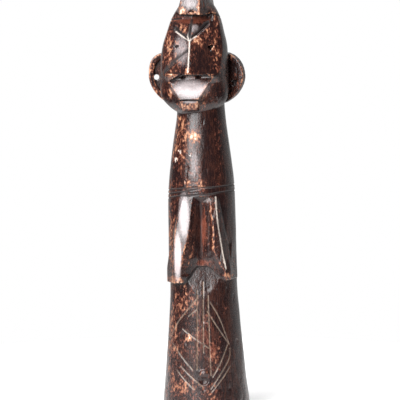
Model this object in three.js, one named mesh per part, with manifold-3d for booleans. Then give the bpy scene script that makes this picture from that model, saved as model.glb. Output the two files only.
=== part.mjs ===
// A carved wooden doll: a round, armless body that widens to a flat base, with long breasts cut in
// facets and a head that has a crest, round ears and a face of flat planes. It is one block of wood.
// Millimetres, +Z up. The doll faces -Y, and the origin is the centre of the flat underside.

import * as THREE from "three";
import { ConvexGeometry } from "three/addons/geometries/ConvexGeometry.js";
import { mergeVertices } from "three/addons/utils/BufferGeometryUtils.js";
import Module from "manifold-3d";

const wasm = await Module();
wasm.setup();

const FAR = 40; // cutting shapes reach this far, past every side of the doll
const LAP = 0.02; // shapes that are joined or cut along one surface overlap by this much

// Column: the body and neck. Half-width at each height, and how far its middle stands to the
// viewer's left or right of the base's.
const COLUMN = [
  { up: 0, half: 28.6, middle: 0 },
  { up: 1.2, half: 29.0, middle: 0 },
  { up: 22, half: 27.1, middle: -0.5 },
  { up: 43, half: 25.2, middle: -0.9 },
  { up: 76, half: 22.6, middle: -1.5 },
  { up: 88, half: 22.1, middle: -1.9 },
  { up: 101, half: 22.5, middle: -2.4 },
  { up: 120, half: 22.3, middle: -2.7 },
  { up: 145, half: 22.1, middle: -3.2 },
  { up: 156, half: 21.5, middle: -3.3 },
  { up: 169, half: 20.1, middle: -3.5 },
  { up: 182, half: 18.4, middle: -3.7 },
  { up: 196, half: 16.4, middle: -3.6 },
  { up: 212, half: 15.0, middle: -3.6 },
];
const COLUMN_DEPTH = 0.95;
const NECK_TOP = 212;
const COLUMN_RINGS = 24;
const COLUMN_SIDES = 56;

// Chest: the breasts are wedges that stand further off the body towards their cut-off ends. A
// station gives, at one height, how far from the middle line the inner ridge, the outer ridge and
// the outer edge lie, and how far forward the ridges and the outer edge stand.
const CHEST_MIDDLE = -2.8;
const LEFT_BREAST = {
  side: -1,
  stations: [
    { up: 87, inner: 13.4, outer: 14.6, edge: 18.8, ridgeOut: 23.2, edgeOut: 21.4 },
    { up: 100, inner: 14.6, outer: 15.2, edge: 18.2, ridgeOut: 25.4, edgeOut: 23.8 },
    { up: 118, inner: 10.4, outer: 11.0, edge: 18.4, ridgeOut: 23.9, edgeOut: 20.8 },
    { up: 134, inner: 7.9, outer: 8.6, edge: 16.2, ridgeOut: 22.6, edgeOut: 19.4 },
    { up: 145, inner: 6.6, outer: 7.6, edge: 13.4, ridgeOut: 21.6, edgeOut: 19.2 },
    { up: 147.4, inner: 6.4, outer: 7.6, edge: 12.6, ridgeOut: 19.6, edgeOut: 17.6 },
  ],
};
const RIGHT_BREAST = {
  side: 1,
  stations: [
    { up: 87, inner: 13.6, outer: 14.8, edge: 19.0, ridgeOut: 23.2, edgeOut: 20.0 },
    { up: 99, inner: 14.6, outer: 15.6, edge: 18.6, ridgeOut: 25.2, edgeOut: 22.4 },
    { up: 113, inner: 7.4, outer: 12.8, edge: 17.2, ridgeOut: 23.9, edgeOut: 17.8 },
    { up: 128, inner: 7.0, outer: 10.4, edge: 13.9, ridgeOut: 22.9, edgeOut: 18.2 },
    { up: 145, inner: 4.8, outer: 8.6, edge: 10.6, ridgeOut: 21.2, edgeOut: 18.8 },
    { up: 147.4, inner: 5.0, outer: 8.2, edge: 9.8, ridgeOut: 19.6, edgeOut: 18.4 },
  ],
};
const BREAST_SLICES = 14;
const BREAST = { rootOut: 8, rootEdge: 1.06, floorRight: 1, floorOut: 17, ridgeDrop: 0.2 };

// The swelling beside each tip: how far out it stands sideways, how thick it is there, the height
// to which it keeps its full thickness, and where it runs out into the body. It leans in by the
// first inset at its back and by the second at its top.
const TIP = { side: 23.2, sideOut: 9, thick: 8, up: 99, top: 123, inset: 0.8, topInset: 3.2, root: 12 };

// The channel between the breasts is a V, with a narrow floor that widens at its foot.
const CHANNEL_MIDDLE = -3.7;
const CHANNEL = [
  { up: 95, half: 5.0, floorOut: 18.6 },
  { up: 101, half: 3.6, floorOut: 18.4 },
  { up: 107, half: 1.0, floorOut: 18.0 },
  { up: 122, half: 0.5, floorOut: 17.6 },
  { up: 136, half: 0.5, floorOut: 18.0 },
  { up: 146.8, half: 0.5, floorOut: 19.6 },
];

// Below the chest the belly is cut back under a ledge shaped like an upturned V.
const LEDGE = [
  [-FAR, 87.2],
  [-12.4, 90.2],
  [-7.4, 96.0],
  [-3.4, 101.0],
  [3.2, 101.0],
  [6.2, 99.2],
  [10.6, 95.0],
  [14.2, 92.2],
  [FAR, 91.4],
];
const LEDGE_FOOT = 78;
const BELLY_OUT_AT_LEDGE = 15.4;
const BELLY_OUT_AT_FOOT = 22.4;

// Navel: a small raised knob with a hollow cut under it. Both are ellipsoids set in the surface.
const NAVEL = { right: -1.8, up: 30.2, half: 3.1, height: 2.7, depth: 1.9, sunk: 0.2 };
const NAVEL_HOLLOW = { right: -1.8, up: 25.6, half: 3.0, height: 2.8, depth: 2.0, sunk: -0.3 };

// Head: a pear, turned a little to the viewer's left. At each height: half-width, how far its middle
// leans to the right of the axis, depth behind the axis, and depth of the face in front of it.
const HEAD_RIGHT = -8.1;
const HEAD_FORWARD = 3.0;
const HEAD_TURN = THREE.MathUtils.degToRad(-10);
const HEAD = [
  { up: 199.5, half: 9.6, middle: 0.6, back: 10.0, front: 9.0 },
  { up: 203, half: 15.4, middle: 0.6, back: 14.5, front: 12.4 },
  { up: 206.5, half: 19.2, middle: 0.5, back: 17.4, front: 14.0 },
  { up: 211, half: 22.2, middle: 0.1, back: 19.6, front: 14.4 },
  { up: 217, half: 23.0, middle: 0, back: 20.6, front: 15.6 },
  { up: 222, half: 22.7, middle: 0, back: 21.0, front: 17.4 },
  { up: 228, half: 22.5, middle: 0, back: 21.2, front: 24.0 },
  { up: 243.5, half: 21.5, middle: 0.5, back: 21.0, front: 20.2 },
  { up: 254, half: 18.9, middle: 0.8, back: 19.8, front: 17.0 },
  { up: 262, half: 16.4, middle: 1.2, back: 18.2, front: 14.8 },
  { up: 269, half: 13.0, middle: 1.6, back: 15.6, front: 12.0 },
  { up: 274, half: 8.8, middle: 2.2, back: 11.6, front: 9.0 },
  { up: 277.5, half: 4.6, middle: 2.4, back: 6.4, front: 5.0 },
];
const HEAD_TOP = 279;
const HEAD_FOOT = 198.6;
const HEAD_RINGS = 21;
const HEAD_SIDES = 48;

// Face: two flat planes that meet on the ridge of the nose.
const NOSE_FOOT = 227.6;
const NOSE_OUT = 24.0;
const NOSE_LEAN = 0.29; // how far the ridge falls back for each millimetre up
const CHEEK_SLOPE = 0.56; // how far a plane falls back for each millimetre sideways
const FACE_CUT_TOP = 266;

// Mouth: a block that stands forward under the nose. Its top is a plate that slopes out to the lip.
const MOUTH = {
  plateMiddle: { right: 0, out: 17.2, up: 219.0 },
  plateTop: { right: 14.4, out: 12.5, up: 223.7 },
  lip: { right: 6.4, out: 20.5, up: 211.3 },
  chin: { right: 4.6, out: 15.6, up: 203.4 },
  rootTop: { right: 16.6, out: 5.0, up: 222.0 },
  rootFoot: { right: 8.0, out: 3.0, up: 202.0 },
};
const MOUTH_TILT = 1.3; // its corner on the viewer's right is this much higher than its middle
const NOSE_FOOT_ENDS = [
  [-8.0, 227.4],
  [14.6, 227.5],
];
const NOSE_FOOT_TAPER = 3; // the space under the nose narrows this much going in, at each end
const MOUTH_SLIT = { from: -6.2, to: 6.6, up: 210.9, height: 1.0, depth: 2.4 };
const NOSTRILS = [
  { right: -5.4, up: 224.6 },
  { right: 4.9, up: 225.0 },
];
const NOSTRIL = { half: 1.6, height: 1.1, depth: 2.6 };

// Eyes: a narrow slit on the viewer's left, and a deep pit on the right, both with the same slanting
// outline, whose corners are in shares of their half-width and height.
const LEFT_EYE = { right: -9.8, up: 244.9, half: 2.3, height: 1.1, depth: 1.8 };
const RIGHT_EYE = { right: 12.4, up: 244.6, half: 2.2, height: 2.1, depth: 4.6 };
const EYE_FLOOR = 0.7; // how wide an eye's floor is, as a share of its mouth
const EYE_CORNERS = [
  [-1, 0.2],
  [0.8, 1],
  [1, 0.4],
  [0.2, -1],
];

// Brow: a recess under the crest, and cuts that meet where the nose begins. Each cut has two ends.
const BROW_RECESS = { half: 13.4, foot: 258.6, top: 266.9, floorOut: 10.6, fall: 0.4, lip: 4.2 };
const CUTTER = 3; // the cutting shapes of the lines and eyes stand this far out of the face
const FACE_CUTS = [
  { from: [-10.8, 256.2], to: [-2.2, 248.9], width: 2.3, depth: 1.5 },
  { from: [1.2, 261.5], to: [-0.3, 249.2], width: 1.5, depth: 1.2 },
  { from: [11.2, 260.2], to: [1.3, 249.9], width: 2.0, depth: 1.6 },
  { from: [-0.9, 242.4], to: [-17.8, 227.0], width: 1.4, depth: 1.0 },
];

// Crest: a comb over the middle of the head. Seen from the side, as [out, up], it has a flat front, a
// curve over the top, two more down the back, and a root buried in the head. A curve is given by its
// two handles and its end.
const CREST_FRONT = [
  [17.6, 266.2],
  [16.8, 278.2],
];
const CREST_CURVES = [
  [[16.0, 289], [9.6, 292], [0, 292]],
  [[-14.4, 292], [-24, 280], [-24, 260.2]],
  [[-24, 246.2], [-23, 238.2], [-14, 232.2]],
];
const CREST_ROOT = [
  [0, 232.2],
  [2, 254.2],
  [6, 266.2],
];

// Its flanks widen from the flat front and lean in towards the top. A ring gives, at one height, the
// half-widths in front, at the shoulders of the flanks, at the hips behind them and at the back, and
// how far the flanks' middle is to the right of the front's.
const CREST_PLACES = { front: 18.6, shoulder: 4, hip: -10, back: -25 };
const CREST_RINGS = [
  { up: 230, front: 6.2, shoulder: 12.2, hip: 11.4, back: 4.6, middle: 1.1 },
  { up: 266.2, front: 6.2, shoulder: 12.2, hip: 11.4, back: 4.6, middle: 1.1 },
  { up: 277, front: 5.8, shoulder: 9.0, hip: 9.4, back: 4.4, middle: 1.1 },
  { up: 293, front: 5.0, shoulder: 5.8, hip: 5.6, back: 4.0, middle: 1.1 },
];

// Ears: half-moon plates, dished in front and bored. An ear reaches out from a line buried in the
// head, and rises above its widest place and drops below it, with more or less square quarters.
const EAR = { root: 16.1, buried: 4, back: 14.2, thick: 5.2, rim: 3.4, dish: 2.0, steps: 20 };
const EAR_SWEEP = THREE.MathUtils.degToRad(12); // turned forward at the outer edge
const EAR_HINGE = 18;
const LEFT_EAR = {
  side: -1,
  up: 223.5,
  reach: 16.9,
  above: { height: 16.0, squareness: 3 },
  below: { height: 18.6, squareness: 1.7 },
  hole: { right: 27.7, up: 222.6, radius: 1.8, depth: 4.2 },
};
const RIGHT_EAR = {
  side: 1,
  up: 223.5,
  reach: 16.5,
  above: { height: 16.6, squareness: 2.3 },
  below: { height: 17.8, squareness: 1.7 },
  hole: { right: 26.2, up: 219.6, radius: 2.2, depth: 2.5 },
};

const WOOD = new THREE.MeshStandardMaterial({ color: "#5a3226", roughness: 0.45, metalness: 0 });

// A point given as the viewer's right, forward out of the doll, and up.
function at(right, out, up) {
  return new THREE.Vector3(right, -out, up);
}

// A closed three.js geometry as a solid.
function solid(geometry) {
  const bare = new THREE.BufferGeometry();
  bare.setAttribute("position", geometry.getAttribute("position"));
  bare.setIndex(geometry.index);
  const merged = mergeVertices(bare, 1e-4);
  const corners = merged.index.array;
  const kept = [];
  for (let i = 0; i < corners.length; i += 3) {
    const [a, b, c] = corners.slice(i, i + 3);
    if (a !== b && b !== c && c !== a) kept.push(a, b, c);
  }
  return new wasm.Manifold(
    new wasm.Mesh({
      numProp: 3,
      vertProperties: merged.attributes.position.array,
      triVerts: new Uint32Array(kept),
    }),
  );
}

// A solid's surface as a three.js geometry.
function geometryOf(body) {
  const mesh = body.getMesh();
  const geometry = new THREE.BufferGeometry();
  geometry.setAttribute("position", new THREE.BufferAttribute(mesh.vertProperties, 3));
  geometry.setIndex(new THREE.BufferAttribute(mesh.triVerts, 1));
  return geometry;
}

function hull(points) {
  return solid(new ConvexGeometry(points));
}

function box(from, to) {
  const size = to.clone().sub(from);
  const middle = from.clone().add(to).multiplyScalar(0.5);
  const geometry = new THREE.BoxGeometry(Math.abs(size.x), Math.abs(size.y), Math.abs(size.z));
  return solid(geometry.translate(middle.x, middle.y, middle.z));
}

// A value read off a row of stations, on a smooth curve that never overshoots them.
function valueAt(stations, up, name) {
  const last = stations.length - 1;
  const height = THREE.MathUtils.clamp(up, stations[0].up, stations[last].up);
  const next = Math.max(1, stations.findIndex((s) => s.up >= height));
  const slope = (i) => {
    if (i <= 0 || i >= last) return 0;
    const before = (stations[i][name] - stations[i - 1][name]) / (stations[i].up - stations[i - 1].up);
    const after = (stations[i + 1][name] - stations[i][name]) / (stations[i + 1].up - stations[i].up);
    return before * after <= 0 ? 0 : (2 * before * after) / (before + after);
  };
  const [low, high] = [stations[next - 1], stations[next]];
  const span = high.up - low.up;
  const t = (height - low.up) / span;
  const rise = high[name] - low[name];
  const endSlope = (i, other) => (i === 0 || i === last ? (1.5 * rise) / span - other / 2 : slope(i));
  const startSlope = endSlope(next - 1, slope(next));
  const stopSlope = endSlope(next, slope(next - 1));
  const [t2, t3] = [t * t, t * t * t];
  return (
    low[name] * (2 * t3 - 3 * t2 + 1) +
    high[name] * (3 * t2 - 2 * t3) +
    span * (startSlope * (t3 - 2 * t2 + t) + stopSlope * (t3 - t2))
  );
}

// A turned form closed at both ends. place(sideways, forward, up) gives each point's real place
// from a unit circle.
function turned(heights, sides, foot, top, place) {
  const profile = [new THREE.Vector2(0, foot)];
  for (const up of heights) profile.push(new THREE.Vector2(1, up));
  profile.push(new THREE.Vector2(0, top));
  const geometry = new THREE.LatheGeometry(profile, sides);
  const position = geometry.attributes.position;
  for (let i = 0; i < position.count; i += 1) {
    const up = position.getY(i);
    const point = place(position.getX(i), position.getZ(i), up);
    position.setXYZ(i, point.x, point.y, point.z);
  }
  return solid(geometry);
}

function evenly(from, to, count) {
  return Array.from({ length: count + 1 }, (_, i) => from + ((to - from) * i) / count);
}

function columnMiddle(up) {
  return valueAt(COLUMN, up, "middle");
}

// A length of the column through some heights, thicker by a margin.
function makeColumnPart(heights, margin) {
  const [foot, top] = [heights[0], heights[heights.length - 1]];
  return turned(heights, COLUMN_SIDES, foot, top, (sideways, forward, up) => {
    const half = valueAt(COLUMN, up, "half") + margin;
    return at(columnMiddle(up) + half * sideways, COLUMN_DEPTH * half * forward, up);
  });
}

// A run of slices joined in pairs, so that its edges can bend either way.
function sliced(heights, corners) {
  let body = null;
  for (let i = 1; i < heights.length; i += 1) {
    const piece = hull([...corners(heights[i - 1]), ...corners(heights[i])]);
    body = body ? body.add(piece) : piece;
  }
  return body;
}

function makeBreast({ side, stations }) {
  const foot = stations[0].up;
  const top = stations[stations.length - 1].up;
  const place = (sideways, out, up) => at(CHEST_MIDDLE + side * sideways, out, up);
  const wedge = sliced(evenly(foot, top, BREAST_SLICES), (up) => {
    const read = (name) => valueAt(stations, up, name);
    return [
      place(read("inner"), read("ridgeOut"), up),
      place(read("outer"), read("ridgeOut") - BREAST.ridgeDrop, up),
      place(read("edge"), read("edgeOut"), up),
      place(read("edge") * BREAST.rootEdge, BREAST.rootOut, up),
      place(BREAST.floorRight, BREAST.rootOut, up),
      place(BREAST.floorRight, BREAST.floorOut, up),
    ];
  });
  const tip = [place(TIP.side - TIP.topInset, TIP.sideOut - TIP.topInset, TIP.top)];
  tip.push(place(TIP.root, BREAST.rootOut, TIP.top));
  for (const up of [TIP.up, foot]) {
    tip.push(place(TIP.side, TIP.sideOut, up));
    tip.push(place(TIP.side - TIP.inset, TIP.sideOut - TIP.thick, up));
    tip.push(place(valueAt(stations, up, "edge"), valueAt(stations, up, "edgeOut"), up));
    tip.push(place(TIP.root, 0, up));
  }
  return wedge.add(hull(tip));
}

function makeChannel() {
  const heights = evenly(CHANNEL[0].up, CHANNEL[CHANNEL.length - 1].up, BREAST_SLICES);
  return sliced(heights, (up) => {
    const points = [];
    const out = valueAt(CHANNEL, up, "floorOut");
    for (const { side, stations } of [LEFT_BREAST, RIGHT_BREAST]) {
      const rim = CHEST_MIDDLE + side * valueAt(stations, up, "inner");
      const rimOut = valueAt(stations, up, "ridgeOut");
      points.push(at(CHANNEL_MIDDLE + side * valueAt(CHANNEL, up, "half"), out, up));
      points.push(at(rim, rimOut, up), at(rim, FAR, up));
    }
    return points;
  });
}

// The space cut away below the breasts. In front it is cut back to a wall that leans out to the
// belly, and further round to the body's own surface.
function makeLedgeSpace() {
  const outline = new THREE.Shape();
  outline.moveTo(CHEST_MIDDLE + LEDGE[0][0], LEDGE_FOOT);
  for (const [right, up] of LEDGE) outline.lineTo(CHEST_MIDDLE + right, up);
  outline.lineTo(CHEST_MIDDLE + LEDGE[LEDGE.length - 1][0], LEDGE_FOOT);
  const geometry = new THREE.ExtrudeGeometry(outline, { depth: FAR, bevelEnabled: false });
  geometry.rotateX(Math.PI / 2);
  const top = Math.max(...LEDGE.map(([, up]) => up)) + 1;
  const foot = LEDGE_FOOT - 1;
  const wall = [];
  for (const right of [-FAR, FAR]) {
    wall.push(at(right, BELLY_OUT_AT_LEDGE, top), at(right, FAR, top));
    wall.push(at(right, BELLY_OUT_AT_FOOT, foot), at(right, FAR, foot));
  }
  return solid(geometry).intersect(hull(wall).add(outsideColumn(foot, top)));
}

// Everything in front of the body's surface between two heights.
function outsideColumn(foot, top) {
  const heights = evenly(foot - 1, top + 1, 8);
  return box(at(-FAR, 0, foot), at(FAR, FAR, top)).subtract(makeColumnPart(heights, LAP));
}

function ellipsoid(middle, { half, depth, height }) {
  const ball = new THREE.SphereGeometry(1, 16, 10);
  ball.scale(half, depth, height);
  return solid(ball.translate(middle.x, middle.y, middle.z));
}

// An ellipsoid sunk in the surface of the body.
function onBody(form) {
  const half = valueAt(COLUMN, form.up, "half");
  const sideways = (form.right - columnMiddle(form.up)) / half;
  const surface = COLUMN_DEPTH * half * Math.sqrt(1 - sideways * sideways);
  return ellipsoid(at(form.right, surface - form.sunk, form.up), form);
}

function makeBody() {
  const heights = [0, ...evenly(COLUMN[1].up, NECK_TOP, COLUMN_RINGS)];
  return makeColumnPart(heights, 0)
    .add(makeBreast(LEFT_BREAST))
    .add(makeBreast(RIGHT_BREAST))
    .subtract(makeChannel())
    .subtract(makeLedgeSpace())
    .subtract(onBody(NAVEL_HOLLOW))
    .add(onBody(NAVEL));
}

function makePear() {
  const heights = evenly(HEAD[0].up, HEAD[HEAD.length - 1].up, HEAD_RINGS);
  return turned(heights, HEAD_SIDES, HEAD_FOOT, HEAD_TOP, (sideways, forward, up) => {
    const depth = valueAt(HEAD, up, forward > 0 ? "front" : "back");
    const right = valueAt(HEAD, up, "middle") + valueAt(HEAD, up, "half") * sideways;
    return at(right, depth * forward, up);
  });
}

// How far forward the face's planes stand at a place on them.
function faceOut(right, up) {
  return NOSE_OUT - NOSE_LEAN * (up - NOSE_FOOT) - CHEEK_SLOPE * Math.abs(right);
}

// What is cut off in front of one plane of the face, above the foot of the nose.
function makeFaceCut(side) {
  const points = [];
  for (const up of [NOSE_FOOT, FACE_CUT_TOP]) {
    for (const sideways of [-LAP, FAR]) {
      const out = NOSE_OUT - NOSE_LEAN * (up - NOSE_FOOT) - CHEEK_SLOPE * sideways;
      points.push(at(side * sideways, out, up), at(side * sideways, FAR, up));
    }
  }
  return hull(points);
}

// A corner of the mouth block on one side, higher or lower by the mouth's tilt.
function mouthPoint({ right, out, up }, side) {
  return at(side * right, out, up + (side * MOUTH_TILT * right) / MOUTH.plateTop.right);
}

function makeMouthBlock() {
  const points = [];
  for (const side of [-1, 1]) {
    for (const corner of Object.values(MOUTH)) points.push(mouthPoint(corner, side));
  }
  return hull(points);
}

// The space under the nose, down to the plate and out over the lip.
function makeMouthSpace() {
  const { plateTop, lip } = MOUTH;
  const points = [];
  for (const side of [-1, 1]) {
    const [right, up] = NOSE_FOOT_ENDS[side < 0 ? 0 : 1];
    points.push(mouthPoint(plateTop, side));
    points.push(at(right - side * NOSE_FOOT_TAPER, plateTop.out, up), at(right, FAR, up));
    points.push(mouthPoint(lip, side));
    points.push(mouthPoint({ ...lip, out: FAR }, side));
  }
  return hull(points);
}

// A long cut with a V section, between two places on the face.
function makeFaceLine({ from, to, width, depth }) {
  const along = new THREE.Vector2(to[0] - from[0], to[1] - from[1]).normalize();
  const across = new THREE.Vector2(-along.y, along.x).multiplyScalar(width / 2);
  const points = [];
  for (const [right, up] of [from, to]) {
    const out = faceOut(right, up);
    points.push(at(right, out - depth, up));
    for (const side of [-1, 1]) {
      points.push(at(right + side * across.x, out + LAP, up + side * across.y));
      points.push(at(right + side * across.x, out + CUTTER, up + side * across.y));
    }
  }
  return hull(points);
}

// An eye: its corners on the face, running in to a narrower floor.
function makeEye({ right, up, half, height, depth }) {
  const floorOut = faceOut(right, up) - depth;
  const points = [];
  for (const [sideways, rise] of EYE_CORNERS) {
    const [x, z] = [right + sideways * half, up + rise * height];
    points.push(at(x, faceOut(x, z) + LAP, z), at(x, faceOut(x, z) + CUTTER, z));
    points.push(at(right + sideways * half * EYE_FLOOR, floorOut, up + rise * height * EYE_FLOOR));
  }
  return hull(points);
}

function makeCrest() {
  const side = new THREE.Shape();
  side.moveTo(...CREST_FRONT[0]);
  side.lineTo(...CREST_FRONT[1]);
  for (const curve of CREST_CURVES) side.bezierCurveTo(...curve.flat());
  for (const point of CREST_ROOT) side.lineTo(...point);
  const arch = new THREE.ExtrudeGeometry(side, { depth: FAR, bevelEnabled: false, curveSegments: 14 });
  arch.translate(0, 0, -FAR / 2);
  const [left, out, up] = [at(-1, 0, 0), at(0, 1, 0), at(0, 0, 1)];
  arch.applyMatrix4(new THREE.Matrix4().makeBasis(out, up, left));

  const { front, shoulder, hip, back } = CREST_PLACES;
  const comb = sliced(CREST_RINGS.map((ring) => ring.up), (height) => {
    const ring = CREST_RINGS.find((r) => r.up === height);
    return [-1, 1].flatMap((sign) => [
      at(sign * ring.front, front, height),
      at(ring.middle + sign * ring.shoulder, shoulder, height),
      at(ring.middle + sign * ring.hip, hip, height),
      at(ring.middle + sign * ring.back, back, height),
    ]);
  });
  return solid(arch).intersect(comb);
}

// The outline of an ear, kept back from its edge by a margin: a quarter of a squared or pointed
// ellipse below its widest place, and another above it.
function earOutline({ up, reach, above, below }, margin) {
  const outline = new THREE.Shape();
  outline.moveTo(EAR.root - EAR.buried, up - below.height + margin);
  for (const turn of evenly(-Math.PI / 2, Math.PI / 2, EAR.steps)) {
    const { height, squareness } = turn > 0 ? above : below;
    const sideways = (reach - margin) * Math.max(0, Math.cos(turn)) ** (2 / squareness);
    const rise = (height - margin) * Math.abs(Math.sin(turn)) ** (2 / squareness);
    outline.lineTo(EAR.root + sideways, up + Math.sign(turn) * rise);
  }
  outline.lineTo(EAR.root - EAR.buried, up + above.height - margin);
  return outline;
}

// A slab of an outline drawn in the plane of the ears, between two places forward of the axis.
function slab(outline, from, to) {
  const geometry = new THREE.ExtrudeGeometry(outline, { depth: to - from, bevelEnabled: false });
  return solid(geometry.rotateX(Math.PI / 2).translate(0, -from, 0));
}

// A bore that goes back from the floor of the dish.
function makeBore({ right, up, radius, depth }, out) {
  const geometry = new THREE.CylinderGeometry(radius, radius, depth + 1, 24);
  return solid(geometry.translate(right, -out + (depth - 1) / 2, up));
}

function makeEar(ear) {
  const { back, thick, rim, dish } = EAR;
  const face = thick - back;
  const plate = slab(earOutline(ear, 0), -back, face)
    .subtract(slab(earOutline(ear, rim), face - dish, face + 1))
    .subtract(makeBore(ear.hole, face - dish));
  const geometry = geometryOf(plate);
  geometry.translate(-EAR_HINGE, -back, 0).rotateZ(-EAR_SWEEP).translate(EAR_HINGE, back, 0);
  return ear.side > 0 ? solid(geometry) : solid(reflected(geometry));
}

// A copy on the other side of the head, with its faces turned round to point out again.
function reflected(geometry) {
  geometry.scale(-1, 1, 1);
  const corners = geometry.index.array;
  for (let i = 0; i < corners.length; i += 3) {
    [corners[i + 1], corners[i + 2]] = [corners[i + 2], corners[i + 1]];
  }
  return geometry;
}

// One half of the recess: its floor falls back towards the side, and its lip slopes out below.
function makeBrowRecess(side) {
  const { half, foot, top, floorOut, fall, lip } = BROW_RECESS;
  const points = [];
  for (const sideways of [-LAP, half]) {
    const out = floorOut - fall * sideways;
    points.push(at(side * sideways, out, top));
    points.push(at(side * sideways, out, foot + lip));
    points.push(at(side * sideways, out + lip, foot));
    points.push(at(side * sideways, FAR, top), at(side * sideways, FAR, foot));
  }
  return hull(points);
}

function makeHead() {
  const { from, to, up, height, depth } = MOUTH_SLIT;
  const { out } = MOUTH.lip;
  let head = makePear()
    .subtract(makeFaceCut(-1))
    .subtract(makeFaceCut(1))
    .add(makeMouthBlock())
    .subtract(makeMouthSpace())
    .subtract(makeBrowRecess(-1))
    .subtract(makeBrowRecess(1))
    .add(makeCrest())
    .add(makeEar(LEFT_EAR))
    .add(makeEar(RIGHT_EAR))
    .subtract(box(at(from, out - depth, up - height), at(to, FAR, up)));
  for (const nostril of NOSTRILS) {
    const middle = at(nostril.right, MOUTH.plateTop.out, nostril.up);
    head = head.subtract(ellipsoid(middle, NOSTRIL));
  }
  for (const cut of FACE_CUTS) head = head.subtract(makeFaceLine(cut));
  for (const eye of [LEFT_EYE, RIGHT_EYE]) head = head.subtract(makeEye(eye));
  const geometry = geometryOf(head);
  geometry.rotateZ(HEAD_TURN).translate(HEAD_RIGHT, -HEAD_FORWARD, 0);
  return solid(geometry);
}

const carving = geometryOf(makeBody().add(makeHead())).toNonIndexed();
carving.computeVertexNormals();

const doll = new THREE.Mesh(carving, WOOD);
doll.name = "carved_doll";

const part = new THREE.Group();
part.add(doll);

export default part;
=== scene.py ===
# A carved wooden doll, made from one block of dark hardwood: the block, the knife lines on it, its
# patina, and the floor, lights and camera of the picture. Lengths are metres, or millimetres where
# a name or comment says so.
import math

import bmesh
import bpy
import numpy as np
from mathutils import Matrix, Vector, kdtree
from mathutils.bvhtree import BVHTree


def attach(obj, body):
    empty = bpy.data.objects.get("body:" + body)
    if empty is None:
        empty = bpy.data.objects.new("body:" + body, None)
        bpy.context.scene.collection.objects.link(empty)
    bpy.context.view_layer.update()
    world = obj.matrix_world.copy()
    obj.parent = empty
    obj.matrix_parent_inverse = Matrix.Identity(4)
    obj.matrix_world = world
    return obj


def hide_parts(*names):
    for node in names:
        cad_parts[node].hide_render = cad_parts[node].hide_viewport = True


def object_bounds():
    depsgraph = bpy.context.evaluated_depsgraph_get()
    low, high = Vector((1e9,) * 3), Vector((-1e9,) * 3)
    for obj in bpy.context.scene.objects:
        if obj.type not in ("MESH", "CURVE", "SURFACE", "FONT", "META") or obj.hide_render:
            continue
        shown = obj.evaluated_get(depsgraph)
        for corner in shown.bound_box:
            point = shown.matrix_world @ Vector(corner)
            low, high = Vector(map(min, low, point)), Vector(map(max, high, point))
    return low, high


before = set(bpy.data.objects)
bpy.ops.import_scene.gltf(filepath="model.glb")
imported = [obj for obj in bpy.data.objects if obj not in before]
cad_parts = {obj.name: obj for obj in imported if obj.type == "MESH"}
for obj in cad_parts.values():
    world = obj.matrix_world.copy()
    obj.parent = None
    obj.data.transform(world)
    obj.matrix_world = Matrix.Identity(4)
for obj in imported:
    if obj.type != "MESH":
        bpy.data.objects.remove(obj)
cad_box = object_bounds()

# The camera. A long lens a little above the doll, which shows the body from just over the base up
# to the crest. It comes first, because the lights are placed by where it stands.
MM = 0.001
CAMERA_TARGET = Vector((-4.36, 0, 142.3)) * MM
CAMERA_DISTANCE = 2.5
CAMERA_ELEVATION = math.radians(7)
FRAME_WIDTH = 0.264  # what the picture spans at the doll
SENSOR = 36

scene = bpy.context.scene
scene.view_settings.view_transform = "Standard"


def toward(azimuth, elevation):
    """A direction from the doll: azimuth 0 is its front and rises to the viewer's right, in degrees."""
    a, e = math.radians(azimuth), math.radians(elevation)
    return Vector((math.sin(a) * math.cos(e), -math.cos(a) * math.cos(e), math.sin(e)))


camera = bpy.data.objects.new("camera", bpy.data.cameras.new("camera"))
scene.collection.objects.link(camera)
scene.camera = camera
camera.data.sensor_width = SENSOR
camera.data.lens = SENSOR * CAMERA_DISTANCE / FRAME_WIDTH
camera.location = CAMERA_TARGET + toward(0, math.degrees(CAMERA_ELEVATION)) * CAMERA_DISTANCE
camera.rotation_euler = (math.pi / 2 - CAMERA_ELEVATION, 0, 0)

# The block. One piece of close-grained hardwood, roughed out with an adze and finished with a
# knife, so that every form is a facet whose edges were rubbed round by hands over the years.
VOXEL = 0.38  # mm, about half the width of the finest knife line
SHARP = math.radians(24)  # edges of the solid that turn more than this are real edges
TRIANGLES = 186_000
EDGE_CORE = 0.5  # mm from an edge where the surface is left alone
EDGE_REACH = 3.0  # mm from an edge where it is smoothed in full
FACET_ROUNDS = 70
EDGE_ROUNDS = 5


def remeshed(node):
    """The node's surface in even quads, as a new object."""
    piece = bpy.data.objects.new("doll_of_dark_wood", node.data.copy())
    scene.collection.objects.link(piece)
    modifier = piece.modifiers.new("even", "REMESH")
    modifier.mode = "VOXEL"
    modifier.voxel_size = VOXEL * MM
    apply_modifiers(piece)
    return piece


def apply_modifiers(piece):
    evaluated = piece.evaluated_get(bpy.context.evaluated_depsgraph_get())
    made = bpy.data.meshes.new_from_object(evaluated)
    piece.modifiers.clear()
    piece.data = made


def read_vector(elements, name="co"):
    values = np.empty(len(elements) * 3, np.float32)
    elements.foreach_get(name, values)
    return values.reshape(-1, 3).astype(np.float64)


def edge_distance(node, points):
    """How far each point lies from the nearest real edge of the node, in mm."""
    shell = bmesh.new()
    shell.from_mesh(node.data)
    bmesh.ops.remove_doubles(shell, verts=shell.verts, dist=1e-6)
    marks = []
    for edge in shell.edges:
        if len(edge.link_faces) == 2 and edge.calc_face_angle(0) > SHARP:
            a, b = (v.co for v in edge.verts)
            steps = max(1, math.ceil((b - a).length / (VOXEL * MM)))
            marks += [a.lerp(b, i / steps) for i in range(steps + 1)]
    shell.free()
    tree = kdtree.KDTree(len(marks))
    for i, mark in enumerate(marks):
        tree.insert(mark, i)
    tree.balance()
    return np.array([tree.find(p)[2] for p in points]) / MM


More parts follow.
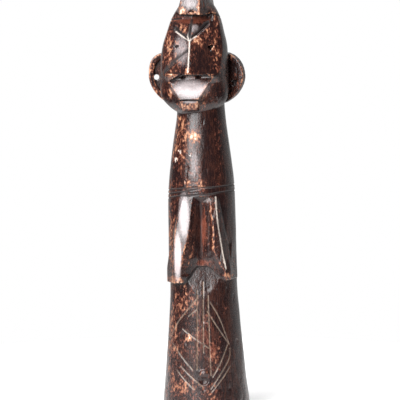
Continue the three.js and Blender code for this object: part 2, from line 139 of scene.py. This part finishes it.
def neighbour_mean(values, pairs, counts):
    """Each vertex's neighbours' mean value."""
    a, b = pairs[:, 0], pairs[:, 1]
    columns = values.reshape(len(values), -1).T
    sums = [np.bincount(a, c[b], len(c)) + np.bincount(b, c[a], len(c)) for c in columns]
    return (np.array(sums) / counts).T.reshape(values.shape)


def eased(value, low, high):
    """0 below low, 1 above high, and a smooth rise between them."""
    t = np.clip((value - low) / (high - low), 0, 1)
    return t * t * (3 - 2 * t)


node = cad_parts["carved_doll"]
doll = remeshed(node)
points = read_vector(doll.data.vertices)
pairs = np.empty(len(doll.data.edges) * 2, np.int32)
doll.data.edges.foreach_get("vertices", pairs)
pairs = pairs.reshape(-1, 2)
counts = np.bincount(pairs.ravel(), minlength=len(points)).astype(float)
standing = points[:, 2] < 0.3 * MM  # the underside stays flat
free = eased(edge_distance(node, points), EDGE_CORE, EDGE_REACH)
for round_number in range(FACET_ROUNDS + EDGE_ROUNDS):
    share = 0.5 * (free if round_number < FACET_ROUNDS else np.full(len(free), 0.8))
    moved = points + share[:, None] * (neighbour_mean(points, pairs, counts) - points)
    moved[standing, 2] = points[standing, 2]
    points = moved

# The knife lines. Thin cuts made with a knife point over the carved form: rings round the chest, a
# hairline round the head, and a lozenge of scratches on the belly. Each is [right, up] in mm as
# seen from the front, or [turn, up] where it goes round, with turn in degrees from the front.
BELLY_LINES = [
    [(-6.3, 84.9), (-6.1, 58.6), (-6.4, 32.9)],
    [(-2.2, 90.5), (-2.4, 66), (-2.1, 44.2)],
    [(0.9, 81.7), (1.7, 55.3), (2.8, 29.0)],
    [(-7.0, 79.0), (-17.6, 65.1), (-20.5, 59.5), (-24.2, 50.8)],
    [(-6.3, 72.8), (-11.6, 67.9)],
    [(2.2, 77.1), (8.6, 66.6), (14.8, 48.8)],
    [(0.3, 71.2), (7.6, 59.6), (14.7, 48.9)],
    [(-22.2, 48.0), (-15.6, 39.7), (-9.2, 32.6)],
    [(-17.0, 34.3), (-9.6, 27.5), (-2.6, 21.6)],
    [(-19.5, 31.4), (-13.6, 24.7), (-8.3, 19.9)],
    [(13.7, 48.4), (9.8, 37.8), (3.9, 27.8)],
    [(15.4, 46.1), (15.4, 39.5), (10.2, 31.0), (2.6, 20.1)],
    [(15.8, 34.3), (9.9, 25.9), (3.2, 18.1)],
    [(-15.6, 58.9), (-9.9, 54.9), (-3.7, 50.5), (2.5, 46.1)],
]
CHEST_RINGS = [
    [(-90, 149.0), (-62, 150.6), (-25, 152.4), (-6, 153.3), (10, 152.6), (42, 153.4), (90, 153.0),
     (140, 151.6), (200, 149.8), (240, 148.8), (270, 149.0)],
    [(-100, 146.2), (-88, 146.6), (-60, 148.2), (-34, 149.9), (-22, 151.0), (-4, 152.1)],
    [(-90, 143.6), (-60, 145.6), (-41, 147.2), (-15, 147.8), (11, 148.1), (38, 149.7), (80, 149.2),
     (140, 147.0), (200, 144.6), (240, 143.5), (270, 143.6)],
]
HAIRLINE = [(46, 264.6), (54, 266.4), (66, 265.6), (90, 263.4), (130, 258.0), (180, 255.5), (230, 257.5),
            (270, 261.6), (292, 262.6), (305, 263.0)]
BROW_LINE = [(-24.8, 257.0), (-22.4, 257.2), (-20.2, 256.9)]
EYELID = [(-25.5, 243.4), (-23.5, 245.1), (-21.2, 246.4), (-19.0, 245.6), (-19.9, 243.3), (-22.5, 241.7),
          (-25.1, 242.5), (-25.5, 243.4)]
HEAD_AXIS = (-8.1, -3.0)
BODY_AXIS = (-3.3, 0.0)
OUTSIDE = 80  # mm, clear of the doll on every side


def stepped(route, step=0.25):
    """Points along a route of straight stretches, one for each step."""
    made = []
    for a, b in zip(route, route[1:]):
        count = max(1, math.ceil(math.dist(a, b) / step))
        made += [tuple(np.array(a) + (np.array(b) - a) * i / count) for i in range(count)]
    return made + [route[-1]]


def curved(route, rounds=3):
    """The same route with its corners cut round."""
    for _ in range(rounds):
        cut = [route[0]]
        for a, b in zip(route, route[1:]):
            a, b = np.array(a), np.array(b)
            cut += [tuple(a * 0.75 + b * 0.25), tuple(a * 0.25 + b * 0.75)]
        route = cut + [route[-1]]
    return route


def on_front(route):
    """Where a route seen from the front lies on the carving."""
    hits = [skin.ray_cast(Vector((x, -OUTSIDE, up)) * MM, Vector((0, 1, 0)))[0] for x, up in stepped(curved(route))]
    return [hit for hit in hits if hit]


def round_about(route, axis):
    """Where a route round an axis lies on the carving."""
    hits = []
    for turn, up in stepped(curved(route), 0.6):
        way = toward(turn, 0)
        start = Vector((axis[0], axis[1], up)) * MM + way * OUTSIDE * MM
        hits.append(skin.ray_cast(start, -way)[0])
    return [hit for hit in hits if hit]


def line_distance(lines, positions):
    """How far each position lies from the nearest of some lines, in mm."""
    marks = [mark for line in lines for mark in line]
    tree = kdtree.KDTree(len(marks))
    for i, mark in enumerate(marks):
        tree.insert(mark, i)
    tree.balance()
    found = np.full(len(positions), 99.0)
    for i, p in enumerate(positions):
        hit = tree.find(p)[2]
        found[i] = hit
    return found / MM


def cut_into(distance, width, depth, burr=0.12):
    """How deep a cut of that width goes, with a low burr beside it."""
    groove = -depth * (1 - eased(distance, width * 0.15, width * 0.75))
    lip = burr * depth * np.exp(-(((distance - width) / (0.45 * width)) ** 2))
    return groove + lip


def set_points(piece, positions):
    piece.data.vertices.foreach_set("co", positions.astype(np.float32).ravel())
    piece.data.update()


set_points(doll, points)
normals = read_vector(doll.data.vertices, "normal")
faces = [tuple(p.vertices) for p in doll.data.polygons]
skin = BVHTree.FromPolygons([tuple(p) for p in points], faces)
belly = line_distance([on_front(line) for line in BELLY_LINES], points)
rings = line_distance([round_about(line, BODY_AXIS) for line in CHEST_RINGS], points)
hair = line_distance([round_about(HAIRLINE, HEAD_AXIS)], points)
brow = line_distance([on_front(BROW_LINE), on_front(EYELID)], points)
shift = cut_into(belly, 0.75, 0.28) + cut_into(rings, 0.9, 0.45) + cut_into(hair, 1.1, 0.7) + cut_into(brow, 0.6, 0.2)

# The hand. Nothing on the doll is true: the knife left shallow hollows and long flats, and use has
# knocked the edges. These are waves over a few millimetres, and small dents with the grain.
HAND = [  # size across and along the grain in mm, height in mm, seed
    (16, 30, 0.28, 11),
    (5.5, 14, 0.12, 12),
    (1.7, 6.5, 0.045, 13),
]
DENTS = (2.2, 5.0, 0.22, 14)
CREST_CHIP = {"right": -10.3, "up": 266.2, "half": 3.6, "height": 4.2, "depth": 1.5}


def wave(positions, across, along, seed):
    """Smooth noise from -1 to 1 whose cells have that size in mm."""
    table = np.random.RandomState(seed).uniform(-1, 1, (32, 32, 32))
    spot = positions / MM / (across, across, along) + 100
    cell = np.floor(spot).astype(int)
    t = spot - cell
    t = t * t * (3 - 2 * t)
    total = np.zeros(len(positions))
    for corner in np.ndindex(2, 2, 2):
        share = np.prod(np.where(corner, t, 1 - t), axis=1)
        i, j, k = ((cell + corner) % 32).T
        total += share * table[i, j, k]
    return total


for across, along, height, seed in HAND:
    shift += height * wave(points, across, along, seed)
across, along, height, seed = DENTS
shift -= height * eased(wave(points, across, along, seed), 0.45, 0.95)
chip = CREST_CHIP
right, up = points[:, 0] / MM, points[:, 2] / MM
in_front = (normals[:, 1] < -0.2) & (points[:, 1] < -12 * MM)
notch = 1 - np.abs(right - chip["right"]) / chip["half"] - (up - chip["up"]) / chip["height"]
shift -= in_front * (up > chip["up"] - 0.5) * chip["depth"] * eased(notch, 0, 0.35)
shift *= eased(points[:, 2], 0.3 * MM, 2 * MM)
points = points + normals * shift[:, None] * MM
low, high = (np.array(corner) for corner in cad_box)
points = np.clip(points, low, high)
set_points(doll, points)
normals = read_vector(doll.data.vertices, "normal")

# What the patina needs to know of the form: where it is raised and rubbed bare, where it is hollow, with dirt in small
# hollows and painted shade in broad ones, and where the picture shows single patches of bare wood, crust, rust, painted
# highlight, and whole patina with painted shade.
bulge = -np.einsum("ij,ij->i", neighbour_mean(points, pairs, counts) - points, normals) / MM
for _ in range(4):
    bulge = neighbour_mean(bulge, pairs, counts)
broad = bulge.copy()
for _ in range(14):
    broad = neighbour_mean(broad, pairs, counts)
ridge = eased(bulge, 0.006, 0.030) * 0.6 + eased(broad, 0.004, 0.016) * 0.5
# Concave places: dirt in the small hollows, and painted shade in the broad ones such as under the breasts.
hollow = eased(-bulge, 0.006, 0.030) * 0.6 + eased(-broad, 0.004, 0.016) * 0.6
scratch = 1 - eased(belly, 0.15, 0.55)

# Patches are [right, up, half width, half height, strength], in mm, on the front.
BARE = [
    (-17.6, 183.6, 5.3, 18.0, 0.42), (-9.0, 186.8, 6.0, 3.3, 1.0), (-18.2, 197.6, 2.6, 4.4, 0.5),
    (6.9, 182.6, 2.6, 15.0, 0.30), (-9.6, 155.3, 13.0, 3.8, 0.40), (-12.3, 155.2, 2.6, 3.3, 0.5),
    (-23.2, 120.1, 2.3, 24.0, 0.45), (-14.9, 77.9, 7.9, 8.0, 0.38), (-22.8, 53.8, 3.3, 30.0, 0.40),
    (-11.0, 20.2, 15.8, 5.3, 0.35), (6.2, 48.6, 5.3, 13.3, 0.20), (-11.4, 53.4, 2.6, 2.6, 0.9),
    (-6.4, 56.0, 1.6, 1.6, 0.6), (-15.0, 85.8, 4.0, 2.0, 0.4), (12.8, 73.4, 1.6, 2.4, 0.5),
    (-24.8, 243.4, 2.2, 15.0, 0.55), (-18.9, 240.8, 5.3, 13.0, 0.25), (5.5, 242.7, 2.6, 16.0, 0.45),
    (0.9, 255.2, 2.4, 3.3, 0.8), (-5.7, 249.0, 3.3, 2.4, 0.6), (-23.5, 213.7, 1.3, 3.3, 1.0),
    (-11.0, 206.7, 7.0, 2.4, 0.8), (-1.7, 214.6, 2.6, 6.0, 0.5), (-16.2, 269.0, 2.2, 2.2, 1.0),
    (-5.7, 271.9, 1.3, 4.4, 1.0), (-15.6, 256.5, 2.8, 2.8, 0.8), (-12.9, 230.5, 1.6, 2.0, 0.7),
    (-20.2, 92.0, 4.8, 2.6, 0.9), (14.8, 95.3, 3.5, 2.5, 1.0), (18.4, 101.4, 2.0, 6.0, 0.6),
    (-37.0, 223.7, 1.7, 14.6, 0.5), (24.7, 223.4, 1.7, 13.3, 0.4),
]
CRUST = [
    (-17.6, 176.0, 1.6, 2.3, 0.9), (-20.2, 170.4, 1.3, 2.8, 0.9), (-11.0, 173.4, 1.6, 2.0, 0.9),
    (-5.0, 172.6, 1.0, 1.1, 0.7), (-7.0, 184.8, 1.6, 1.2, 0.8), (-13.6, 157.2, 1.2, 2.2, 0.8),
    (-20.2, 197.4, 1.0, 1.4, 0.7), (-11.4, 54.0, 1.1, 0.9, 0.9), (-23.4, 92.0, 1.2, 2.4, 0.7),
    (-16.5, 184.0, 4.0, 16.0, 0.35), (-23.5, 214.5, 0.8, 1.2, 1.0),
]
RUST = [
    (-2.0, 126.0, 2.1, 13.0, 1.0), (-2.4, 102.7, 4.0, 2.7, 0.9), (-1.7, 55.4, 7.9, 15.0, 0.55),
    (4.2, 45.4, 3.0, 6.0, 0.8), (-11.0, 262.3, 12.4, 2.2, 1.2), (-7.0, 224.7, 8.5, 1.4, 0.8),
    (-11.0, 205.6, 7.5, 2.6, 0.7), (-1.7, 214.6, 2.6, 6.0, 0.6), (-24.6, 243.4, 2.6, 15.0, 0.5),
    (17.4, 218.0, 4.0, 7.0, 0.4),
]
# Painted highlights: pale patches where the soft boxes glint on the polished facets. They lie on the breast on the
# left, the neck, the mouth plate, the crest front, the left face, the forehead and the belly knob.
GREY = [
    (-14.8, 134.0, 3.6, 15.0, 1.3), (-19.0, 108.0, 2.4, 16.0, 1.5), (-8.0, 168.0, 3.4, 12.0, 0.7),
    (-11.0, 217.8, 12.0, 6.7, 1.2), (-11.0, 273.8, 5.9, 5.0, 0.9), (-16.5, 243.0, 5.5, 11.0, 0.85),
    (-7.7, 256.8, 3.4, 3.6, 0.8), (-11.0, 209.3, 5.0, 1.2, 1.0), (-1.8, 31.1, 1.7, 1.3, 0.6),
]
# Patches kept dark: patina left whole, and painted shade where the doll is in shadow. They cover the parts between and
# under the breasts, under the jaw and the crest, and down the right side.
WHOLE_AND_SHADED = [
    (2.2, 177.7, 4.2, 23.0, 1.0), (0.3, 192.1, 4.0, 8.0, 0.9), (-4.4, 200.4, 15.8, 1.8, 0.8),
    (-6.6, 118.1, 2.0, 24.0, 1.0), (-0.4, 92.7, 9.2, 5.3, 1.0), (7.5, 78.2, 5.3, 8.0, 0.8),
    (6.4, 61.8, 3.4, 8.0, 0.6), (17.4, 225.2, 4.0, 12.0, 0.8), (-10.3, 265.3, 11.2, 0.8, 1.0),
    (-3.2, 25.6, 2.4, 2.6, 0.8), (16.0, 130.0, 7.0, 46.0, 1.0), (18.0, 50.0, 7.0, 46.0, 0.9),
    (-1.0, 236.0, 4.0, 8.0, 0.4),
]
# Ridge lines painted pale as highlights, lines worn down to ochre, and lines stained dark.
PAINTED_RIDGE_HIGHLIGHTS = [
    [(-11.2, 248.8), (-11.7, 239.6), (-12.3, 229.3)], [(-19.9, 254.4), (-15.6, 251.5), (-11.8, 249.4)],
    [(-12.9, 253.5), (-11.7, 249.5)], [(-11.4, 249.1), (-9.6, 250.6), (-6.9, 251.9)],
    [(5.9, 146.7), (6.5, 135.7), (8.8, 120.5), (10.8, 108.7), (12.6, 100.2)],
]
WORN_OCHRE = [
    [(1.6, 138.9), (4.6, 129.2), (4.2, 113.3), (6.2, 107.3), (12.5, 97.5)],
    [(-11.9, 125.2), (-14.6, 112.1), (-17.6, 101.5)], [(-7.9, 117.7), (-9.6, 110.3), (-11.4, 103.1)],
    [(8.4, 139.0), (13.1, 119.9), (15.9, 99.8)], [(-20.4, 127.2), (-21.3, 115.5), (-20.4, 98.7)],
    [(2.2, 99.1), (7.5, 94.6), (11.5, 91.8)], [(-24.2, 221.2), (-20.9, 215.6), (-17.6, 209.4)],
]
STAINED = [
    [(-19.9, 257.0), (-12.7, 250.2)], [(-9.6, 262.1), (-11.6, 251.1)], [(0.6, 261.2), (-9.3, 252.1)],
    [(-12.3, 243.4), (-19.9, 237.2), (-24.8, 232.3), (-27.8, 227.8)],
]


def patched(patches):
    """How strongly some patches lie on each vertex of the front."""
    found = np.zeros(len(points))
    facing = eased(-normals[:, 1], -0.15, 0.1) * (points[:, 1] < 0)
    for x, z, half, height, strength in patches:
        reach = ((right - x) / half) ** 2 + ((up - z) / height) ** 2
        found = np.maximum(found, strength * np.exp(-0.7 * reach**1.5))
    return found * facing


def lined(lines, width):
    """1 on some lines of the front, fading to 0 beyond that width in mm."""
    return 1 - eased(line_distance([on_front(line) for line in lines], points), width * 0.4, width)


right, up = points[:, 0] / MM, points[:, 2] / MM
skin = BVHTree.FromPolygons([tuple(p) for p in points], faces)
stain = np.maximum(lined(STAINED, 1.5), 0.65 * (1 - eased(np.minimum(rings, hair), 0.2, 0.7)))
stain = np.maximum(stain, 0.5 * (1 - eased(brow, 0.1, 0.5)))
MARKS = {
    "ridge": np.maximum(ridge, 0.9 * lined(WORN_OCHRE, 1.1)), "hollow": hollow, "scratch": scratch,
    "bare": patched(BARE), "crust": patched(CRUST), "rust": patched(RUST), "grey": patched(GREY),
    "whole_and_shaded": patched(WHOLE_AND_SHADED), "stain": stain, "pale": lined(PAINTED_RIDGE_HIGHLIGHTS, 0.7),
}

modifier = doll.modifiers.new("fewer", "DECIMATE")
modifier.ratio = TRIANGLES / (2 * len(doll.data.polygons))
dense = kdtree.KDTree(len(points))
for i, p in enumerate(points):
    dense.insert(p, i)
dense.balance()
apply_modifiers(doll)
nearest = [dense.find(v.co)[1] for v in doll.data.vertices]
for name, values in MARKS.items():
    layer = doll.data.attributes.new(name, "FLOAT", "POINT")
    layer.data.foreach_set("value", values[nearest].astype(np.float32))
doll.data.shade_smooth()

# The finish. Hardwood under a patina of smoke, oil and hands: nearly black and glossy where it is whole, red-brown
# where it is thin, ochre to cream where the wood is bare, and dull in hollows. Painted highlights in pale colours sit
# on the facets and ridges that face the soft boxes, and painted shade darkens the broad hollows and the parts in
# shadow.
PATINA_DARK = "1e1111"
PATINA_BROWN = "38201a"
PATINA_RED = "653629"
WOOD_OCHRE = "ae7b5b"
WOOD_PALE = "dfc2ad"
# The cream of crusted flecks, also used for the painted highlights on ridge lines.
CRUST_AND_HIGHLIGHT_CREAM = "e6d8cd"
# The colour of the painted highlights on the polished facets.
PAINTED_HIGHLIGHT_GREY = "b8aeaf"
SCRATCH_PALE = "9a8370"
STAIN = "120909"
GRAIN_ACROSS = 0.9  # mm between streaks of grain
GRAIN_ALONG = 9.0
FLECK = 1.6  # mm across a fleck of worn patina
FLECK_ALONG = 2.6
PATCH = 7.0  # mm across a patch of thin patina


def linear(code):
    """An sRGB hex colour as linear red, green, blue and alpha."""
    parts = [int(code[i:i + 2], 16) / 255 for i in (0, 2, 4)]
    return [c / 12.92 if c <= 0.04045 else ((c + 0.055) / 1.055) ** 2.4 for c in parts] + [1]


def add(tree, kind, settings=None, **sockets):
    """A node with its settings. A socket's name has _ for a space, and takes a value or an output."""
    made = tree.nodes.new("ShaderNode" + kind)
    for name, value in (settings or {}).items():
        setattr(made, name, value)
    for name, value in sockets.items():
        socket = next(s for s in made.inputs if name == s.identifier.replace(" ", "_"))
        if isinstance(value, bpy.types.NodeSocket):
            tree.links.new(value, socket)
        else:
            socket.default_value = value
    return made


def start_material(name):
    material = bpy.data.materials.new(name)
    material.use_nodes = True
    material.node_tree.nodes.clear()
    return material, material.node_tree


wood, tree = start_material("patinated_hardwood")
place = add(tree, "TexCoord").outputs["Object"]


def noise(across, along, detail, roughness=0.55, seed=0.0):
    """Noise from 0 to 1 with cells of that size in mm, drawn out along the grain."""
    scale = Vector((1 / across, 1 / across, 1 / along)) / MM
    moved = add(tree, "Mapping", Vector=place, Scale=scale, Location=(seed, seed * 1.7, seed * 0.6))
    made = add(tree, "TexNoise", Vector=moved.outputs[0], Scale=1.0, Detail=detail, Roughness=roughness)
    return made.outputs[0]


def mark(name):
    return add(tree, "Attribute", {"attribute_name": name}).outputs["Fac"]


def calculate(operation, a, b=0.0, c=0.0, clamp=False):
    return add(tree, "Math", {"operation": operation, "use_clamp": clamp}, Value=a, Value_001=b, Value_002=c).outputs[0]


def between(value, low, high):
    """0 below low, 1 above high, and a smooth rise between them."""
    settings = {"interpolation_type": "SMOOTHSTEP"}
    return add(tree, "MapRange", settings, Value=value, From_Min=low, From_Max=high).outputs[0]


def blended(share, under, over):
    """One colour over another. A colour is a hex code or an output."""
    under, over = (linear(c) if isinstance(c, str) else c for c in (under, over))
    made = add(tree, "Mix", {"data_type": "RGBA"}, Factor_Float=share, A_Color=under, B_Color=over)
    return made.outputs["Result_Color"] if "Result_Color" in made.outputs else made.outputs[2]


patches = noise(PATCH, PATCH * 2, 3)
flecks = between(noise(FLECK, FLECK_ALONG, 4, 0.65, 3.1), 0.25, 0.75)
grain = between(noise(GRAIN_ACROSS, GRAIN_ALONG, 3, 0.6, 7.7), 0.25, 0.75)
fine = noise(0.5, 1.2, 2, 0.5, 5.3)
ridge, hollow, bare, whole_and_shaded = mark("ridge"), mark("hollow"), mark("bare"), mark("whole_and_shaded")
rust, crust, grey = mark("rust"), mark("crust"), mark("grey")
scratch, stain, pale = mark("scratch"), mark("stain"), mark("pale")

thin = calculate("MULTIPLY_ADD", patches, 0.8, calculate("MULTIPLY", grain, 0.45))
colour = blended(between(thin, 0.5, 0.85), PATINA_DARK, PATINA_BROWN)
red = calculate("MULTIPLY_ADD", rust, 0.6, calculate("MULTIPLY_ADD", grain, 0.35, calculate("MULTIPLY", flecks, 0.3)))
colour = blended(between(red, 0.5, 0.95), colour, PATINA_RED)
worn = calculate("MULTIPLY_ADD", bare, 0.42, calculate("MULTIPLY", ridge, 0.28))
worn = calculate("ADD", worn, calculate("MULTIPLY_ADD", flecks, 0.62, calculate("MULTIPLY", patches, 0.45)))
# Painted shade and whole patina: the hollows and the dark patches hold back the pale wear.
worn = calculate("SUBTRACT", worn, calculate("MULTIPLY_ADD", hollow, 0.35, calculate("MULTIPLY", whole_and_shaded, 0.3)))
colour = blended(between(worn, 0.62, 0.82), colour, PATINA_RED)
colour = blended(between(worn, 0.76, 0.98), colour, WOOD_OCHRE)
colour = blended(between(worn, 0.98, 1.2), colour, WOOD_PALE)
crusted = calculate("MULTIPLY_ADD", crust, 0.6, calculate("MULTIPLY", flecks, 0.6))
colour = blended(between(crusted, 0.75, 1.0), colour, CRUST_AND_HIGHLIGHT_CREAM)
# Painted highlight: the facets that face the soft boxes are lifted toward a pale colour.
highlight_share = calculate("MULTIPLY_ADD", grey, 0.7, calculate("MULTIPLY", fine, 0.5))
colour = blended(calculate("MULTIPLY", between(highlight_share, 0.5, 1.15), 0.85), colour, PAINTED_HIGHLIGHT_GREY)
# Hollows darkened toward the patina's black: dirt in the small ones, painted shade in the broad ones.
colour = blended(calculate("MULTIPLY", hollow, 0.75, clamp=True), colour, PATINA_DARK)
colour = blended(calculate("MULTIPLY", scratch, calculate("MULTIPLY_ADD", flecks, 0.6, 0.1)), colour, SCRATCH_PALE)
colour = blended(calculate("MULTIPLY", stain, 0.9), colour, STAIN)
# Painted highlight: the ridges of the nose and brow and the keel of the breast on the right are painted cream where
# they catch the light.
colour = blended(calculate("MULTIPLY", pale, calculate("MULTIPLY_ADD", fine, 1.2, -0.05), clamp=True), colour, CRUST_AND_HIGHLIGHT_CREAM)

dull = calculate("MULTIPLY_ADD", between(worn, 0.6, 1.0), 0.25, calculate("MULTIPLY", hollow, 0.25))
dull = calculate("MULTIPLY_ADD", stain, 0.4, dull)
gloss = calculate("ADD", calculate("MULTIPLY_ADD", fine, 0.14, 0.19), dull)
relief = calculate("MULTIPLY_ADD", grain, 0.4, calculate("MULTIPLY_ADD", flecks, -0.5, calculate("MULTIPLY", fine, 0.5)))
bump = add(tree, "Bump", None, Height=relief, Strength=0.6, Distance=0.00016)
surface = add(
    tree, "BsdfPrincipled", None, Base_Color=colour, Roughness=gloss, Normal=bump.outputs[0],
    IOR=1.5,
)
add(tree, "OutputMaterial", None, Surface=surface.outputs[0])

doll.data.materials.clear()
doll.data.materials.append(wood)
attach(doll, "root")
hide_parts("carved_doll")

# The floor and the light. A white table and a pale room: big soft boxes at the front left and above
# draw the bright streaks, the room behind lights both rims, and the front right stays dark.
FLOOR_HALF = 0.32
FLOOR_WHITE = "f4f4f4"
SOFT_BOXES = [  # name, azimuth, elevation, distance, width, height in metres, watts
    ("front_left", -30, 24, 1.3, 0.9, 1.0, 33),
    ("overhead", -18, 62, 1.3, 0.7, 0.5, 14),
]

bpy.ops.mesh.primitive_circle_add(vertices=96, radius=FLOOR_HALF, fill_type="NGON")
floor = bpy.context.object
floor.name = "floor"
floor_paint, tree = start_material("white_table")
paint = add(
    tree, "BsdfPrincipled", None, Base_Color=linear(FLOOR_WHITE), Roughness=0.9,
    Emission_Color=linear("ffffff"), Emission_Strength=0.45,
)
add(tree, "OutputMaterial", None, Surface=paint.outputs[0])
floor.data.materials.append(floor_paint)

for name, azimuth, elevation, distance, width, height, watts in SOFT_BOXES:
    lamp = bpy.data.objects.new(name, bpy.data.lights.new(name, "AREA"))
    scene.collection.objects.link(lamp)
    lamp.data.shape = "RECTANGLE"
    lamp.data.size = width
    lamp.data.size_y = height
    lamp.data.energy = watts
    lamp.location = CAMERA_TARGET + toward(azimuth, elevation) * distance
    lamp.rotation_euler = (-toward(azimuth, elevation)).to_track_quat("-Z", "Y").to_euler()
    lamp.visible_camera = False

ROOM_BRIGHT = 0.6
ROOM_DARK = 0.02
room = bpy.data.worlds.new("room")
room.use_nodes = True
scene.world = room
tree = room.node_tree
tree.nodes.clear()
way = add(tree, "SeparateXYZ", None, Vector=add(tree, "TexCoord").outputs["Generated"])
behind = calculate("MULTIPLY_ADD", way.outputs[0], 0.35, way.outputs[1])
light = add(tree, "MapRange", {"interpolation_type": "SMOOTHSTEP"}, Value=behind, From_Min=0.1, From_Max=0.7,
            To_Min=ROOM_DARK, To_Max=ROOM_BRIGHT)
seen = add(tree, "LightPath").outputs["Is Camera Ray"]
strength = calculate("MAXIMUM", light.outputs[0], seen)
sky = add(tree, "Background", None, Color=linear("ffffff"), Strength=strength)
add(tree, "OutputWorld", None, Surface=sky.outputs[0])
